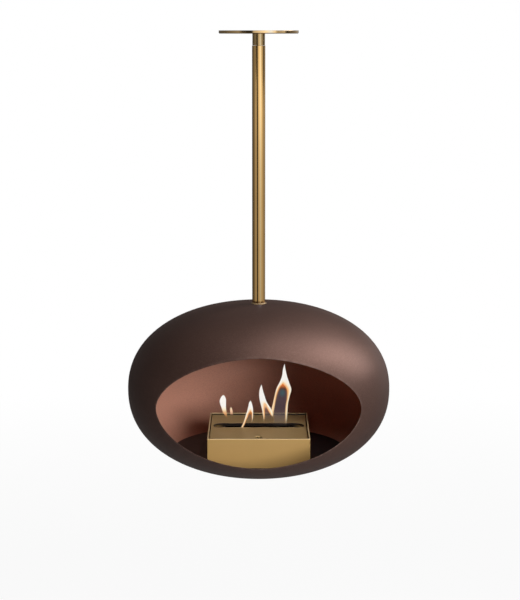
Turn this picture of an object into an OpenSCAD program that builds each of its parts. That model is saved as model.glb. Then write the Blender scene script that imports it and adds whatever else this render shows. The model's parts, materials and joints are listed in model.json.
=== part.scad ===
// Hanging fireplace: a domed steel shell on a brass pole, with a burner standing in it.
// Millimetres. The origin is the centre of the ceiling plate's top face, +Z is up and
// the fire opening faces -Y.

/* [Ceiling plate] */
// Diameter of the ceiling plate
plate_d = 180; // [120:1:260]
// Thickness of the ceiling plate
plate_t = 7; // [6:0.5:12]
// Chamfer on the plate's lower edge
plate_chamfer = 1.5; // [0.5:0.1:3]
// Circle on which the ceiling screw holes lie
ceiling_pcd = 140; // [100:1:160]
// Number of ceiling screw holes
ceiling_screw_count = 4; // [3:1:8]
// Diameter of a ceiling screw hole
ceiling_hole_d = 6.5; // [4:0.5:8]
// Diameter of the countersink of a ceiling screw hole
ceiling_sink_d = 12; // [9:0.5:14]

/* [Swivel] */
// Outer diameter of the swivel housing
housing_d = 28.6; // [28:0.1:36]
// Length of the swivel housing below the ceiling plate
housing_drop = 26; // [22:0.5:40]
// Thickness of the floor that carries the bearing
housing_floor_t = 6; // [4:0.5:8]
// Diameter of the flange that hangs in the plate
flange_d = 46; // [42:0.5:60]
// Thickness of that flange
flange_t = 3; // [2:0.5:4]
// Number of flange screws
flange_screw_count = 3; // [3:1:6]
// Diameter of the swivel stud
stud_d = 10; // [8:0.5:11]
// Diameter of the stud's head
stud_head_d = 20; // [16:0.5:22]
// Height of the stud's head
stud_head_h = 7; // [5:0.5:8]
// Depth to which the stud is screwed into the pole
stud_grip = 20; // [12:1:22]
// Gap between the turning pole and the still housing
swivel_gap = 0.5; // [0.4:0.1:1]
// Outer diameter of the thrust bearing
bearing_d = 24; // [23.5:0.1:24]
// Height of the thrust bearing
bearing_h = 9; // [8:0.5:10]
// Thickness of a bearing race
race_t = 2.7; // [2.4:0.1:3]
// Diameter of a bearing ball
ball_d = 4.76; // [4:0.1:5]
// Number of bearing balls
ball_count = 8; // [6:1:8]
// Thickness of the ball cage
cage_t = 2; // [1:0.1:2.5]

/* [Pole] */
// Outer diameter of the pole
pole_d = 30; // [28:0.5:40]
// Wall of the pole
pole_wall = 2; // [1.5:0.1:4]
// Length of the pole
pole_l = 590; // [300:1:1500]
// Length of the plug in each end of the pole
plug_l = 25; // [22:1:60]
// Diameter of the ring at the pole's foot
ring_d = 36; // [34:0.5:50]
// Height of the ring at the pole's foot
ring_h = 3; // [2:0.5:8]
// Diameter of the grub screw that locks the stud
grub_d = 5; // [3:0.5:6]

/* [Shell] */
// Width of the shell
shell_d = 610; // [560:1:700]
// Height of the shell
shell_h = 398; // [380:1:440]
// Power of the shell's outline: 2 is an ellipse, more is fuller
shell_power = 2.2; // [2:0.05:2.5]
// Thickness of the shell's sheet
shell_t = 2.5; // [1.5:0.1:4]
// Width of the fire opening
mouth_w = 454; // [400:1:480]
// Height of the fire opening
mouth_h = 248; // [200:1:260]
// Power of the opening's outline: 2 is an ellipse, less is more pointed
mouth_power = 1.85; // [1.7:0.05:2.2]
// How far the opening's centre lies below the shell's
mouth_drop = 2.5; // [0:0.5:12]
// Diameter of the dished plate that stiffens the top
saddle_d = 110; // [60:1:160]
// Thickness of that plate
saddle_t = 3; // [2:0.5:6]
// Diameter of the bolt that holds the shell to the pole
shell_bolt_d = 12; // [8:1:14]
// Width across the flats of the bolt's head
shell_bolt_flats = 19; // [17:1:24]
// Height of the bolt's head
shell_bolt_head_h = 7.5; // [5:0.5:12]
// Length of the bolt inside the pole
shell_bolt_grip = 22; // [12:1:22]
// Diameter of the bolt's washer
shell_washer_d = 34; // [26:1:50]
// Thickness of the bolt's washer
shell_washer_t = 2.5; // [1.5:0.5:4]

/* [Hearth floor] */
// Gap between the burner's far corners and the floor's edge
floor_margin = 5.8; // [4:0.1:20]
// Thickness of the floor plate
floor_t = 3; // [2:0.5:5]
// Number of brackets under the floor
bracket_count = 4; // [3:1:8]
// Width of a bracket
bracket_w = 26; // [16:1:40]
// Height of a bracket
bracket_h = 12; // [12:1:20]
// Reach of a bracket inwards past its screw
bracket_reach = 10; // [6:1:30]
// Diameter of a floor screw
floor_screw_d = 5; // [4:0.5:6]
// Length of a floor screw
floor_screw_l = 12; // [8:1:14]
// Diameter of a locating pin
pin_d = 8; // [5:0.5:12]
// Height of a locating pin above the floor
pin_h = 6.5; // [5:0.5:8]

/* [Burner casing] */
// Depth of the burner, front to back
burner_l = 240; // [220:1:244]
// Height of the burner, feet included
burner_h = 70; // [60:1:90]
// How far the burner stands ahead of the pole's axis
burner_forward = 42; // [30:1:46]
// Thickness of the casing's walls
casing_wall = 3; // [2:0.5:4]
// Radius of the casing's upright edges
casing_edge_r = 1.5; // [1:0.1:2.5]
// Width of the casing's flange that holds the base plate
casing_flange_w = 16; // [14:1:22]
// Thickness of that flange
casing_flange_t = 2; // [1.5:0.1:3]
// Thickness of the base plate
base_t = 3; // [2:0.5:4]
// Diameter of a foot
foot_d = 14; // [10:1:15]
// Height of a foot
foot_h = 2; // [1:0.5:4]
// Diameter of the burner's screws
burner_screw_d = 4; // [3:0.5:4]

/* [Burner inside] */
// Diameter of a post under the deck
post_d = 10; // [9:0.5:14]
// Inset of a post from the casing's inner walls
post_inset = 25; // [22:1:30]
// Thickness of the deck
deck_t = 2; // [1.5:0.5:3]
// Length of the tank's inside, left to right
tank_l = 197; // [160:1:220]
// Distance from the tank's inside to the burner's side
tank_side = 17.5; // [16:0.5:30]
// Width of the tank's inside, front to back
tank_w = 41; // [38:1:44]
// Gap between the tank and the base plate
tank_base_gap = 3.5; // [2:0.5:10]
// Wall of the tank
tank_wall = 1.5; // [1:0.1:2]
// Width of the tank's rim
tank_rim_w = 3.5; // [3:0.1:4]
// How far the ceramic block's top lies below the deck's top
wick_sink = 10.5; // [6:0.5:30]
// How far the damper reaches past the tank's rim at each side
damper_lap = 1.5; // [1:0.1:4]
// Thickness of the damper
damper_t = 1.5; // [1:0.1:2]
// How far the damper's slot ends short of the tank's end
damper_slot_inset = 16.5; // [10:0.5:30]
// Travel of the damper
damper_travel = 40; // [39:0.5:42]
// Width of the tongue by which the damper is moved
tongue_w = 14; // [8:1:16]
// Width of a damper rail
rail_w = 8; // [7:0.5:9]
// How far a rail reaches over the damper's edge, its clearance included
rail_lip_w = 4.4; // [3:0.1:5]
// Height of a damper rail
rail_h = 5.5; // [5:0.1:8]
// Length of a damper rail
rail_l = 156; // [150:1:170]

/* [Burner cover] */
// How far the cover lies below the casing's top edge
cover_sink = 3.5; // [1:0.1:5]
// Thickness of the cover
cover_t = 2.5; // [1.5:0.1:4]
// Gap between the cover and the casing
cover_gap = 2; // [1:0.1:4]
// How far the flame slot reaches past the tank's end
slot_lap = 4.5; // [0:0.5:6]
// Width of the flame slot, front to back
slot_w = 35; // [25:1:36]
// How far the slot's centre lies behind the burner's
slot_back = 14.5; // [10:0.5:20]
// Diameter of the hole through which the tongue is reached
tool_hole_d = 18; // [14:1:24]
// How far the tool hole's centre lies behind the casing's front
tool_hole_inset = 29; // [24:1:32]

/* [Fits] */
// Radial clearance of a running fit
running_fit = 0.05; // [0.02:0.01:0.1]
// Radial clearance of a fixed pin, plug or screw
fixed_fit = 0.05; // [0.02:0.01:0.1]
// Gap between the shell and a piece that is seated inside it
seat_gap = 1.45; // [1.3:0.05:1.8]
// Gap between the shell and the dished plate under its top
dish_gap = 0.6; // [0.5:0.05:0.8]
// Gap between pieces that move past each other
free_gap = 0.4; // [0.3:0.05:0.5]

/* [Hidden] */
$fn = 96;
// Overshoot of a cut past the face that it opens
cut = 1;
// Facets of the shell: columns round the fire opening, and rows from it to the back
shell_columns = 80;
shell_rows = 29;

// Heights of the swivel, from the ceiling down
housing_bottom_z = -plate_t - housing_drop;
bearing_z = housing_bottom_z + housing_floor_t;
ball_z = bearing_z + bearing_h / 2;
head_z = bearing_z + bearing_h;
pole_top_z = housing_bottom_z - swivel_gap;
pole_bottom_z = pole_top_z - pole_l;
stud_end_z = pole_top_z - stud_grip;
grub_z = pole_top_z - stud_grip / 2;

// Radii of the swivel
housing_bore_r = bearing_d / 2 + free_gap;
ball_pitch_r = (bearing_d / 2 + stud_d / 2) / 2;
pole_bore_r = pole_d / 2 - pole_wall;

// Flange screws, which fit between the housing and the flange's edge
flange_screw_d = (flange_d - housing_d) / 6;
flange_pcd = (flange_d + housing_d) / 2;
flange_screw_l = plate_t - 1;

shell_top_z = pole_bottom_z;
shell_z = shell_top_z - shell_h / 2;

// Stack under the shell's top: the dished plate is a slice of a ball that follows the
// shell from the axis to the plate's edge
dish_top_z = shell_top_z - shell_t - dish_gap;
dish_drop = shell_h / 2 - shell_t - shell_height(saddle_d / 2, shell_t);
dish_r = (pow(saddle_d / 2, 2) + dish_drop * dish_drop) / (2 * dish_drop);
washer_top_z = dish_top_z - dish_r + arc_height(dish_r - saddle_t, shell_washer_d / 2)
    - fixed_fit;
bolt_head_z = washer_top_z - shell_washer_t;

// Hearth floor: it lies where the shell leaves room for the burner's corners
burner_w = tank_l + 2 * tank_side;
burner_reach = norm([burner_w / 2, burner_l / 2 + burner_forward]);
floor_z = shell_z - shell_height(burner_reach + floor_margin + seat_gap, shell_t);
floor_under_z = floor_z - floor_t;
floor_r = seat_radius(floor_z);
floor_under_r = seat_radius(floor_under_z);
bracket_under_z = floor_under_z - bracket_h;
bracket_screw_r = seat_radius(floor_z - floor_screw_l) - 1.5 * floor_screw_d;
bracket_inner_r = bracket_screw_r - bracket_reach;
bracket_blank_l = floor_under_r + cut - bracket_inner_r;
burner_y = -burner_forward;

// Heights inside the burner, from the floor up
casing_bottom_z = floor_z + foot_h;
base_z = casing_bottom_z + casing_flange_t;
base_top_z = base_z + base_t;
burner_top_z = floor_z + burner_h;
cover_z = burner_top_z - cover_sink - cover_t;
deck_top_z = cover_z - rail_h;
deck_z = deck_top_z - deck_t;
damper_z = deck_top_z + tank_wall + free_gap;
tank_bottom_z = base_top_z + tank_base_gap;
wick_z = tank_bottom_z + tank_wall;

// Plan sizes inside the burner
tank_rim_l = tank_l + 2 * tank_wall + 2 * tank_rim_w;
damper_w = tank_rim_l + 2 * damper_lap;
damper_slot_l = tank_l - 2 * damper_slot_inset;
slot_l = tank_l + 2 * slot_lap;
casing_inner_w = burner_w - 2 * casing_wall;
casing_inner_l = burner_l - 2 * casing_wall;
fixing_x = casing_inner_w / 2 - casing_flange_w / 2;
fixing_y = casing_inner_l / 2 - casing_flange_w / 2;
post_x = casing_inner_w / 2 - post_inset;
post_y = casing_inner_l / 2 - post_inset;
pin_x = post_x - post_d - pin_d;
slot_y = burner_y + slot_back;
tool_hole_y = burner_y - burner_l / 2 + tool_hole_inset;

// Damper: its front land covers the tank's mouth once it is pushed back
damper_land = damper_travel + tank_wall + tank_rim_w;
damper_front_y = slot_y - tank_w / 2 - damper_land;
damper_back_land = 12;
damper_back_y = slot_y + slot_w / 2 + damper_back_land;
rail_groove_h = tank_wall + damper_t + 2 * free_gap;
rail_inner_x = damper_w / 2 + free_gap - rail_lip_w;
rail_y = (damper_front_y + damper_back_y + damper_travel) / 2;
rail_screw_y = rail_l / 2 - 12;
rail_screw_x = damper_w / 2 + free_gap + (rail_w - rail_lip_w) / 2;
rail_screw_d = 2.5;

// Screw forms
sink_angle_ratio = 0.5;
head_ratio = 2;

// Height of an arc's point above its centre, at a distance from its axis
function arc_height(r, x) = sqrt(r * r - x * x);

// Radius of the shell at a height above its middle, moved inwards by an inset
function shell_radius(h, inset) =
    (shell_d / 2 - inset) * pow(1 - pow(abs(h) / (shell_h / 2 - inset), shell_power), 1 / shell_power);

// Height of the shell above its middle at a distance from the axis
function shell_height(x, inset) =
    (shell_h / 2 - inset) * pow(1 - pow(x / (shell_d / 2 - inset), shell_power), 1 / shell_power);

// Radius of a piece that is seated inside the shell
function seat_radius(z) = shell_radius(z - shell_z, shell_t) - seat_gap;

// Point of the shell's surface in a direction from its middle
function surface_point(dir, inset) =
    dir / pow(
        pow(norm([dir[0], dir[1]]) / (shell_d / 2 - inset), shell_power)
        + pow(abs(dir[2]) / (shell_h / 2 - inset), shell_power),
        1 / shell_power
    );

// Point of the fire opening's edge, seen from the front
function mouth_point(angle) =
    [mouth_w / 2 * cos(angle), mouth_h / 2 * sin(angle)]
    / pow(pow(abs(cos(angle)), mouth_power) + pow(abs(sin(angle)), mouth_power), 1 / mouth_power)
    - [0, mouth_drop];

// Direction from the shell's middle to the edge of the fire opening
function rim_direction(angle, inset) =
    let(m = mouth_point(angle), p = [m[0], -sqrt(pow(shell_radius(m[1], inset), 2) - m[0] * m[0]), m[1]])
    p / norm(p);

// Direction that lies a part of the way from one unit vector to another
function turned(from, to, part) =
    let(angle = acos(from * to)) (sin((1 - part) * angle) * from + sin(part * angle) * to) / sin(angle);

// Points of one skin of the shell: rows from the opening's edge, then the back's middle
function skin(inset) = [
    for (row = [0:shell_rows - 1], column = [0:shell_columns - 1])
        surface_point(
            turned(rim_direction(column * 360 / shell_columns, inset), [0, 1, 0], row / shell_rows), inset
        ),
    surface_point([0, 1, 0], inset)
];

// Faces of one skin, whose first point has a number: turned over for the inner skin
function skin_faces(first, inner) = [
    for (row = [0:shell_rows - 1], column = [0:shell_columns - 1])
        let(
            next = (column + 1) % shell_columns,
            a = first + row * shell_columns + column,
            b = first + row * shell_columns + next,
            back = first + shell_rows * shell_columns,
            c = row < shell_rows - 1 ? a + shell_columns : back,
            d = row < shell_rows - 1 ? b + shell_columns : back
        )
        for (face = c == d ? [[a, b, c]] : [[a, b, c], [b, d, c]])
            inner ? [face[2], face[1], face[0]] : face
];

// Faces of the sheet's edge round the fire opening
function rim_faces(inner_first) = [
    for (column = [0:shell_columns - 1], half = [0, 1])
        let(next = (column + 1) % shell_columns)
        half == 0
        ? [next, column, inner_first + column]
        : [next, inner_first + column, inner_first + next]
];

// A rectangle with rounded corners, about its centre
module rounded_rect(w, l, r) {
    square([w, l - 2 * r], center = true);
    square([w - 2 * r, l], center = true);
    for (x = [-1, 1], y = [-1, 1])
        translate([x * (w / 2 - r), y * (l / 2 - r)]) circle(r = r, $fn = 48);
}

// A slot with round ends along X, about its centre
module stadium(l, w) {
    square([l - w, w], center = true);
    for (x = [-1, 1]) translate([x * (l - w) / 2, 0]) circle(r = w / 2);
}

// Copies of its children at the corners of a rectangle round the burner's centre
module burner_corners(x, y) {
    for (sx = [-1, 1], sy = [-1, 1])
        translate([sx * x, burner_y + sy * y, 0]) children();
}

// Copies of its children at the middles of the burner's four sides
module burner_sides(x, y) {
    for (side = [[x, 0], [-x, 0], [0, y], [0, -y]])
        translate([side[0], burner_y + side[1], 0]) children();
}

// Copies of its children on a circle round the axis
module on_circle(count, r, start = 0) {
    for (i = [0:count - 1]) rotate([0, 0, start + i * 360 / count]) translate([r, 0, 0]) children();
}

// A countersunk screw along Z: its head's flat lies at z = 0 and its tip points down
module sunk_screw(d, l) {
    head_d = d * head_ratio;
    head_h = (head_d - d) * sink_angle_ratio;
    difference() {
        union() {
            translate([0, 0, -head_h]) cylinder(h = head_h, d1 = d, d2 = head_d, $fn = 48);
            translate([0, 0, -l]) cylinder(h = l - head_h / 2, d = d, $fn = 48);
        }
        translate([0, 0, -head_h * 0.6]) cylinder(h = head_h, d = d * 0.6, $fn = 6);
    }
}

// The hole for such a screw, with a clearance round it
module sunk_hole(d, l) {
    head_d = d * head_ratio + 2 * fixed_fit;
    hole_d = d + 2 * fixed_fit;
    head_h = (head_d - hole_d) * sink_angle_ratio;
    translate([0, 0, -head_h]) cylinder(h = head_h, d1 = hole_d, d2 = head_d, $fn = 48);
    cylinder(h = cut, d = head_d, $fn = 48);
    translate([0, 0, -l]) cylinder(h = l, d = hole_d, $fn = 48);
}

// Round plate that is screwed to the ceiling and carries the swivel housing
module ceiling_plate() {
    color("#c79a58") difference() {
        union() {
            translate([0, 0, plate_chamfer - plate_t])
                cylinder(h = plate_t - plate_chamfer, d = plate_d, $fn = 180);
            translate([0, 0, -plate_t])
                cylinder(h = plate_chamfer, d1 = plate_d - 2 * plate_chamfer, d2 = plate_d, $fn = 180);
        }
        translate([0, 0, -plate_t - cut])
            cylinder(h = plate_t + 2 * cut, d = housing_d + 2 * fixed_fit);
        translate([0, 0, -flange_t]) cylinder(h = flange_t + cut, d = flange_d + 2 * fixed_fit);
        on_circle(ceiling_screw_count, ceiling_pcd / 2, 45) ceiling_hole();
        on_circle(flange_screw_count, flange_pcd / 2, 90)
            translate([0, 0, -flange_screw_l]) cylinder(h = plate_t, d = flange_screw_d + 2 * fixed_fit);
    }
}

// Hole for one of the installer's screws, sunk from below
module ceiling_hole() {
    sink_h = (ceiling_sink_d - ceiling_hole_d) * sink_angle_ratio;
    translate([0, 0, -plate_t - cut]) cylinder(h = plate_t + 2 * cut, d = ceiling_hole_d);
    translate([0, 0, -plate_t]) cylinder(h = sink_h, d1 = ceiling_sink_d, d2 = ceiling_hole_d);
    translate([0, 0, -plate_t - cut]) cylinder(h = cut, d = ceiling_sink_d);
}

// Cup that hangs in the ceiling plate by its flange and holds the thrust bearing
module swivel_housing() {
    color("#b0884c") difference() {
        union() {
            translate([0, 0, -flange_t]) cylinder(h = flange_t, d = flange_d);
            translate([0, 0, housing_bottom_z]) cylinder(h = -housing_bottom_z, d = housing_d);
        }
        translate([0, 0, bearing_z]) cylinder(h = cut - bearing_z, r = housing_bore_r);
        translate([0, 0, housing_bottom_z - cut])
            cylinder(h = housing_floor_t + 2 * cut, r = stud_d / 2 + running_fit);
        on_circle(flange_screw_count, flange_pcd / 2, 90) sunk_hole(flange_screw_d, flange_screw_l);
    }
}

module flange_screws() {
    color("#8d8f92") on_circle(flange_screw_count, flange_pcd / 2, 90)
        sunk_screw(flange_screw_d, flange_screw_l - free_gap);
}

// One race of the thrust bearing, with its ball groove
module race(bottom_z, bore_r) {
    difference() {
        translate([0, 0, bottom_z]) cylinder(h = race_t, d = bearing_d);
        translate([0, 0, bottom_z - cut]) cylinder(h = race_t + 2 * cut, r = bore_r);
        translate([0, 0, ball_z]) rotate_extrude()
            translate([ball_pitch_r, 0]) circle(r = ball_d / 2 + free_gap, $fn = 48);
    }
}

module lower_race() {
    color("#a9abae") race(bearing_z, stud_d / 2 + free_gap);
}

module upper_race() {
    color("#a9abae") race(head_z - race_t, stud_d / 2 + fixed_fit);
}

// Ring that keeps the balls apart
module ball_cage() {
    pocket_r = ball_d / 2 + free_gap / 2;
    color("#c9a23f") difference() {
        translate([0, 0, ball_z - cage_t / 2]) cylinder(h = cage_t, r = bearing_d / 2 - free_gap);
        translate([0, 0, ball_z - cage_t]) cylinder(h = 2 * cage_t, r = stud_d / 2 + 2 * free_gap);
        on_circle(ball_count, ball_pitch_r)
            translate([0, 0, ball_z - cage_t]) cylinder(h = 2 * cage_t, r = pocket_r, $fn = 48);
    }
}

module bearing_balls() {
    color("#d9dbde") on_circle(ball_count, ball_pitch_r)
        translate([0, 0, ball_z]) sphere(d = ball_d, $fn = 48);
}

// Stud whose head turns on the bearing and whose shank is screwed into the pole
module swivel_stud() {
    socket_flats = stud_d * 0.8;
    color("#9a9c9f") difference() {
        union() {
            translate([0, 0, head_z]) cylinder(h = stud_head_h, d = stud_head_d);
            translate([0, 0, stud_end_z]) cylinder(h = head_z - stud_end_z, d = stud_d);
        }
        translate([0, 0, head_z + stud_head_h / 2])
            cylinder(h = stud_head_h, d = socket_flats / cos(30), $fn = 6);
    }
}

// Hole in the back of the pole for the screw that locks the stud
module grub_hole() {
    translate([0, stud_d / 2, grub_z]) rotate([-90, 0, 0]) cylinder(h = pole_d, d = grub_d + 2 * fixed_fit);
}

module pole_tube() {
    color("#c99f5e") difference() {
        translate([0, 0, pole_bottom_z]) cylinder(h = pole_l, d = pole_d);
        translate([0, 0, pole_bottom_z - cut]) cylinder(h = pole_l + 2 * cut, r = pole_bore_r);
        grub_hole();
    }
}

// Plug in the pole's top, tapped for the swivel stud
module pole_top_plug() {
    color("#b58f50") difference() {
        translate([0, 0, pole_top_z - plug_l]) cylinder(h = plug_l, r = pole_bore_r - fixed_fit);
        translate([0, 0, stud_end_z]) cylinder(h = stud_grip + cut, r = stud_d / 2 + fixed_fit);
        grub_hole();
    }
}

module stud_lock_screw() {
    screw_l = pole_d / 2 - stud_d / 2 - fixed_fit - 1;
    color("#5a5c60") translate([0, stud_d / 2 + fixed_fit, grub_z]) rotate([-90, 0, 0]) difference() {
        cylinder(h = screw_l, d = grub_d);
        translate([0, 0, screw_l / 2]) cylinder(h = screw_l, d = grub_d / 2, $fn = 6);
    }
}

// Plug in the pole's foot, tapped for the bolt that holds the shell
module pole_bottom_plug() {
    color("#b58f50") difference() {
        translate([0, 0, pole_bottom_z]) cylinder(h = plug_l, r = pole_bore_r - fixed_fit);
        translate([0, 0, pole_bottom_z - cut])
            cylinder(h = shell_bolt_grip + cut, r = shell_bolt_d / 2 + fixed_fit);
    }
}

// Flared ring that covers the joint between the pole and the shell
module foot_ring() {
    ring_band_h = ring_h / 3;
    color("#d0a868") translate([0, 0, pole_bottom_z]) difference() {
        union() {
            cylinder(h = ring_band_h, d = ring_d);
            translate([0, 0, ring_band_h])
                cylinder(h = ring_h - ring_band_h, d1 = ring_d, d2 = pole_d + pole_wall);
        }
        translate([0, 0, -cut]) cylinder(h = ring_h + 2 * cut, r = pole_d / 2 + fixed_fit);
    }
}

// Domed shell whose skins run from the fire opening's edge round to the back
module shell() {
    inner_first = shell_rows * shell_columns + 1;
    color("#4b3430") difference() {
        translate([0, 0, shell_z]) polyhedron(
            points = concat(skin(0), skin(shell_t)),
            faces = concat(skin_faces(0, false), skin_faces(inner_first, true), rim_faces(inner_first))
        );
        translate([0, 0, shell_top_z - 2 * shell_t])
            cylinder(h = 4 * shell_t, r = shell_bolt_d / 2 + free_gap);
    }
}

// Dished plate that spreads the bolt's load under the shell's top
module saddle_plate() {
    blank_h = saddle_t + dish_drop + cut;
    color("#3a3a3d") difference() {
        intersection() {
            translate([0, 0, dish_top_z - dish_r]) sphere(r = dish_r, $fn = 360);
            translate([0, 0, dish_top_z - blank_h]) cylinder(h = blank_h + cut, d = saddle_d);
        }
        translate([0, 0, dish_top_z - dish_r]) sphere(r = dish_r - saddle_t, $fn = 360);
        translate([0, 0, dish_top_z - blank_h])
            cylinder(h = blank_h + cut, r = shell_bolt_d / 2 + free_gap);
    }
}

module shell_washer() {
    color("#8d8f92") translate([0, 0, bolt_head_z]) difference() {
        cylinder(h = shell_washer_t, d = shell_washer_d);
        translate([0, 0, -cut]) cylinder(h = shell_washer_t + 2 * cut, r = shell_bolt_d / 2 + free_gap);
    }
}

module shell_bolt() {
    color("#8d8f92") {
        translate([0, 0, bolt_head_z - shell_bolt_head_h])
            cylinder(h = shell_bolt_head_h, d = shell_bolt_flats / cos(30), $fn = 6);
        translate([0, 0, bolt_head_z - cut])
            cylinder(h = pole_bottom_z + shell_bolt_grip - bolt_head_z, d = shell_bolt_d);
    }
}

// Round hearth floor, its edge bevelled to the shell
module floor_plate() {
    color("#151518") difference() {
        translate([0, 0, floor_under_z])
            cylinder(h = floor_t, r1 = floor_under_r, r2 = floor_r, $fn = 180);
        on_circle(bracket_count, bracket_screw_r, 45)
            translate([0, 0, floor_z]) sunk_hole(floor_screw_d, floor_screw_l);
        pin_places() translate([0, 0, floor_under_z - cut])
            cylinder(h = floor_t + 2 * cut, r = pin_d / 2 + fixed_fit);
    }
}

// Blocks welded inside the shell that carry the floor
module floor_brackets() {
    color("#3a3a3d") difference() {
        intersection() {
            on_circle(bracket_count, bracket_inner_r, 45)
                translate([0, -bracket_w / 2, bracket_under_z])
                    cube([bracket_blank_l, bracket_w, bracket_h]);
            translate([0, 0, bracket_under_z])
                cylinder(h = bracket_h, r1 = seat_radius(bracket_under_z), r2 = floor_under_r, $fn = 180);
        }
        on_circle(bracket_count, bracket_screw_r, 45)
            translate([0, 0, floor_z]) sunk_hole(floor_screw_d, floor_screw_l);
    }
}

module floor_screws() {
    color("#5a5c60") on_circle(bracket_count, bracket_screw_r, 45)
        translate([0, 0, floor_z]) sunk_screw(floor_screw_d, floor_screw_l - fixed_fit);
}

// Places of the two pins that locate the burner
module pin_places() {
    for (side = [-1, 1]) translate([side * pin_x, burner_y, 0]) children();
}

// Riveted pins on the hearth floor
module locating_pins() {
    rivet_h = pin_d / 5;
    color("#8d8f92") pin_places() {
        translate([0, 0, floor_under_z - rivet_h]) cylinder(h = rivet_h, d = pin_d * 1.5);
        translate([0, 0, floor_under_z - rivet_h / 2])
            cylinder(h = rivet_h / 2 + floor_t + pin_h, d = pin_d);
    }
}

// Four walls of the burner, with a flange inside their lower edge
module burner_casing() {
    color("#c39a57") difference() {
        translate([0, burner_y, casing_bottom_z]) difference() {
            linear_extrude(height = burner_top_z - casing_bottom_z)
                rounded_rect(burner_w, burner_l, casing_edge_r);
            translate([-casing_inner_w / 2, -casing_inner_l / 2, casing_flange_t])
                cube([casing_inner_w, casing_inner_l, burner_h]);
            translate([casing_flange_w - casing_inner_w / 2, casing_flange_w - casing_inner_l / 2, -cut])
                cube([casing_inner_w - 2 * casing_flange_w, casing_inner_l - 2 * casing_flange_w, burner_h]);
        }
        burner_sides(fixing_x, fixing_y) base_screw_hole();
    }
}

module burner_feet() {
    color("#202022") burner_corners(fixing_x, fixing_y)
        translate([0, 0, floor_z]) cylinder(h = foot_h, d = foot_d);
}

// Hole from below through the flange and into the base plate
module base_screw_hole() {
    translate([0, 0, casing_bottom_z]) mirror([0, 0, 1]) sunk_hole(burner_screw_d, casing_flange_t + base_t);
}

module base_plate() {
    color("#8b8d90") difference() {
        translate([-casing_inner_w / 2 + free_gap, burner_y - casing_inner_l / 2 + free_gap, base_z])
            cube([casing_inner_w - 2 * free_gap, casing_inner_l - 2 * free_gap, base_t]);
        burner_sides(fixing_x, fixing_y) base_screw_hole();
        burner_corners(post_x, post_y) post_screw_hole();
        pin_places() translate([0, 0, base_z - cut])
            cylinder(h = base_t + 2 * cut, r = pin_d / 2 + 2 * free_gap);
    }
}

module base_screws() {
    color("#5a5c60") burner_sides(fixing_x, fixing_y) translate([0, 0, casing_bottom_z])
        mirror([0, 0, 1]) sunk_screw(burner_screw_d, casing_flange_t + base_t);
}

// Hole from below through the base plate and into a post
module post_screw_hole() {
    translate([0, 0, base_z]) mirror([0, 0, 1]) sunk_hole(burner_screw_d, base_t + 2 * burner_screw_d);
}

// Hole from above through the deck and into a post
module deck_screw_hole() {
    translate([0, 0, deck_top_z]) sunk_hole(burner_screw_d, deck_t + 2 * burner_screw_d);
}

// Posts that stand on the base plate and carry the deck
module deck_posts() {
    color("#9a9c9f") difference() {
        burner_corners(post_x, post_y)
            translate([0, 0, base_top_z]) cylinder(h = deck_z - base_top_z, d = post_d);
        burner_corners(post_x, post_y) {
            post_screw_hole();
            deck_screw_hole();
        }
    }
}

module post_screws() {
    color("#5a5c60") burner_corners(post_x, post_y) translate([0, 0, base_z])
        mirror([0, 0, 1]) sunk_screw(burner_screw_d, base_t + 2 * burner_screw_d - fixed_fit);
}

// Plate that carries the tank by its rim, and the damper's rails
module deck_plate() {
    color("#8b8d90") difference() {
        translate([cover_gap / 2 - casing_inner_w / 2, burner_y + cover_gap / 2 - casing_inner_l / 2, deck_z])
            cube([casing_inner_w - cover_gap, casing_inner_l - cover_gap, deck_t]);
        translate([0, slot_y, deck_z - cut]) linear_extrude(height = deck_t + 2 * cut)
            stadium(tank_l + 2 * tank_wall + 2 * free_gap, tank_w + 2 * tank_wall + 2 * free_gap);
        burner_corners(post_x, post_y) deck_screw_hole();
        rail_screw_places() rail_screw_hole();
    }
}

module deck_screws() {
    color("#5a5c60") burner_corners(post_x, post_y) translate([0, 0, deck_top_z])
        sunk_screw(burner_screw_d, deck_t + 2 * burner_screw_d - fixed_fit);
}

// Fuel tank, hanging in the deck by its rim
module fuel_tank() {
    color("#a5a7aa") translate([0, slot_y, 0]) difference() {
        union() {
            translate([0, 0, tank_bottom_z])
                linear_extrude(height = deck_top_z + tank_wall - tank_bottom_z)
                stadium(tank_l + 2 * tank_wall, tank_w + 2 * tank_wall);
            translate([0, 0, deck_top_z]) linear_extrude(height = tank_wall)
                stadium(tank_rim_l, tank_w + 2 * tank_wall + 2 * tank_rim_w);
        }
        translate([0, 0, wick_z]) linear_extrude(height = deck_top_z + tank_wall + cut - wick_z)
            stadium(tank_l, tank_w);
    }
}

// Ceramic fibre block that soaks up the fuel
module wick_block() {
    color("#e4ded2") translate([0, slot_y, wick_z])
        linear_extrude(height = deck_top_z - wick_sink - wick_z)
            stadium(tank_l - 2 * free_gap, tank_w - 2 * free_gap);
}

// Copies of its children at the rails' screws
module rail_screw_places() {
    for (side = [-1, 1], end = [-1, 1])
        translate([side * rail_screw_x, rail_y + end * rail_screw_y, 0]) children();
}

// Hole from below through the deck and into a rail
module rail_screw_hole() {
    translate([0, 0, deck_z]) mirror([0, 0, 1]) sunk_hole(rail_screw_d, deck_t + rail_h / 2);
}

// Grooved rails in which the damper's edges run, and on which the cover rests
module damper_rails() {
    color("#9a9c9f") difference() {
        for (side = [0, 1]) mirror([side, 0, 0])
            translate([rail_inner_x, rail_y - rail_l / 2, deck_top_z]) difference() {
                cube([rail_w, rail_l, rail_h]);
                translate([-cut, -cut, -cut])
                    cube([rail_lip_w + cut, rail_l + 2 * cut, rail_groove_h + cut]);
            }
        rail_screw_places() rail_screw_hole();
    }
}

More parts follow.
